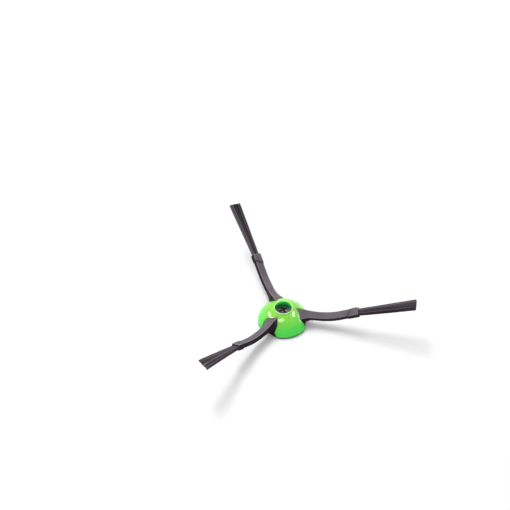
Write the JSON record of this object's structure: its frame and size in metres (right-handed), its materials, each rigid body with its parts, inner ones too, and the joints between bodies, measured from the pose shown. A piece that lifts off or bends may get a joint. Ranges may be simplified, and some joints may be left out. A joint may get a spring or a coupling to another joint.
{
  "type": "robot vacuum side brush",
  "caption": "Corner brush for a floor-cleaning robot: domed hub with a screw well and drive socket, and pitched rubber arms that end in flat bristle tufts.",
  "frame": {"origin": "middle of the hub's flat base, on the axis of the screw well and drive socket", "axes": "+Z along the hub's axis, out of the screw well; +X along the first arm"},
  "size_m": [0.1348, 0.1529, 0.0341],
  "materials": {
    "cap_green": "glossy moulded plastic",
    "base_dark": "fine-grained moulded plastic",
    "arm_rubber": "satin moulded rubber",
    "screw_steel": "dark zinc-plated steel",
    "bristle": "nylon filaments"
  },
  "bodies": {
    "brush": {"hub_cap": "cap_green", "hub_base": "base_dark", "arm_spider": "arm_rubber", "bristle_tuft_1": "bristle", "bristle_tuft_2": "bristle", "bristle_tuft_3": "bristle"},
    "screw": {"captive_screw": "screw_steel"}
  },
  "joints": [
    {"name": "screw_turn", "type": "hinge", "parent": "brush", "child": "screw", "pos_m": [0, 0, 0.006], "axis": [0, 0, 1], "continuous": true}
  ]
}
